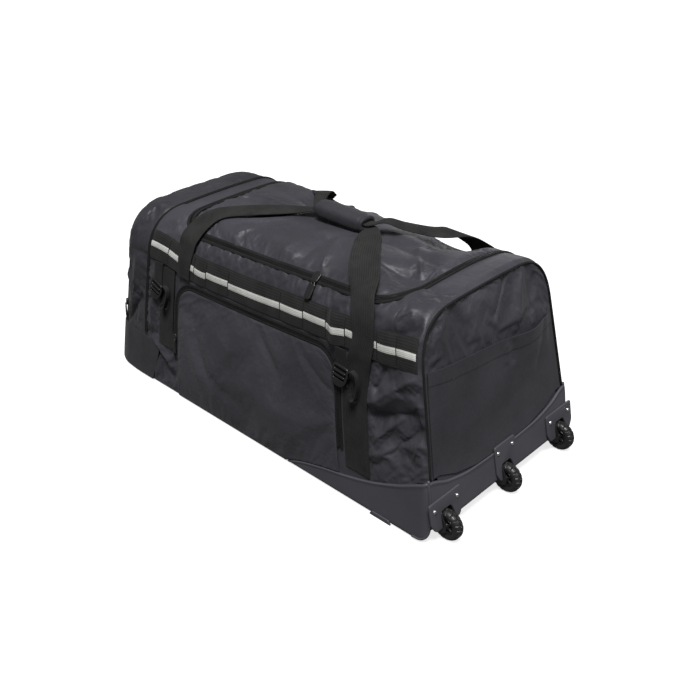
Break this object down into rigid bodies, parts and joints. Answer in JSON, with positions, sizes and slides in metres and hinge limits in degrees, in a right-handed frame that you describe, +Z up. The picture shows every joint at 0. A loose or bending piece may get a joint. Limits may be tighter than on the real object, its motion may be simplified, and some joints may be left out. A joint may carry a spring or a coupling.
{
  "type": "wheeled hockey bag",
  "caption": "Long soft-sided sports bag on a moulded base with wheels at one end, a zipped lid, pockets and webbing carrying handles joined by a padded grip.",
  "frame": {"origin": "on the floor, under the middle of the bag's box", "axes": "+X along the bag towards the wheels, -Y towards the pocketed front, +Z up"},
  "size_m": [0.97, 0.4554, 0.443],
  "materials": {
    "cloth": "coated cloth with a satin sheen",
    "webbing": "woven matt webbing",
    "base": "moulded, satin",
    "plastic": "moulded, smooth",
    "tyre": "knobbly rubber",
    "reflective": "pale reflective tape",
    "steel": "bright"
  },
  "bodies": {
    "bag": {"base_tub": "base", "skid_foot_front": "plastic", "skid_foot_back": "plastic", "wheel_housing_1": "base", "wheel_housing_2": "base", "wheel_housing_3": "base", "rivet_1a": "steel", "rivet_1b": "steel", "rivet_2a": "steel", "rivet_2b": "steel", "rivet_3a": "steel", "rivet_3b": "steel", "axle_1": "steel", "axle_2": "steel", "axle_3": "steel", "front_panel": "cloth", "back_panel": "cloth", "left_gusset": "cloth", "top_strip_left": "cloth", "top_strip_right": "cloth", "lid": "cloth", "right_end_panel": "cloth", "left_end_panel": "cloth", "front_pocket": "cloth", "end_pocket": "cloth", "corner_patch": "cloth", "lid_zip": "webbing", "pocket_zip": "webbing", "left_end_zip": "webbing", "lid_zip_pull": "plastic", "pocket_zip_pull": "plastic", "left_end_zip_pull": "plastic", "webbing_band": "webbing", "reflective_stripe": "reflective", "front_handle": "webbing", "rear_handle": "webbing", "anchor_strap_left": "webbing", "grip": "cloth", "buckle_left": "plastic", "buckle_right": "plastic", "buckle_strap_left": "webbing", "buckle_strap_right": "webbing", "buckle_tail_left": "webbing", "buckle_tail_right": "webbing", "piping_right": "webbing", "piping_left": "webbing"},
    "wheel_1": {"tyre_1": "tyre", "hub_1": "plastic"},
    "wheel_2": {"tyre_2": "tyre", "hub_2": "plastic"},
    "wheel_3": {"tyre_3": "tyre", "hub_3": "plastic"}
  },
  "joints": [
    {"name": "wheel_1_spin", "type": "hinge", "parent": "bag", "child": "wheel_1", "pos_m": [0.455, -0.179, 0.03], "axis": [0, 1, 0], "continuous": true},
    {"name": "wheel_2_spin", "type": "hinge", "parent": "bag", "child": "wheel_2", "pos_m": [0.455, 0, 0.03], "axis": [0, 1, 0], "continuous": true},
    {"name": "wheel_3_spin", "type": "hinge", "parent": "bag", "child": "wheel_3", "pos_m": [0.455, 0.179, 0.03], "axis": [0, 1, 0], "continuous": true}
  ]
}
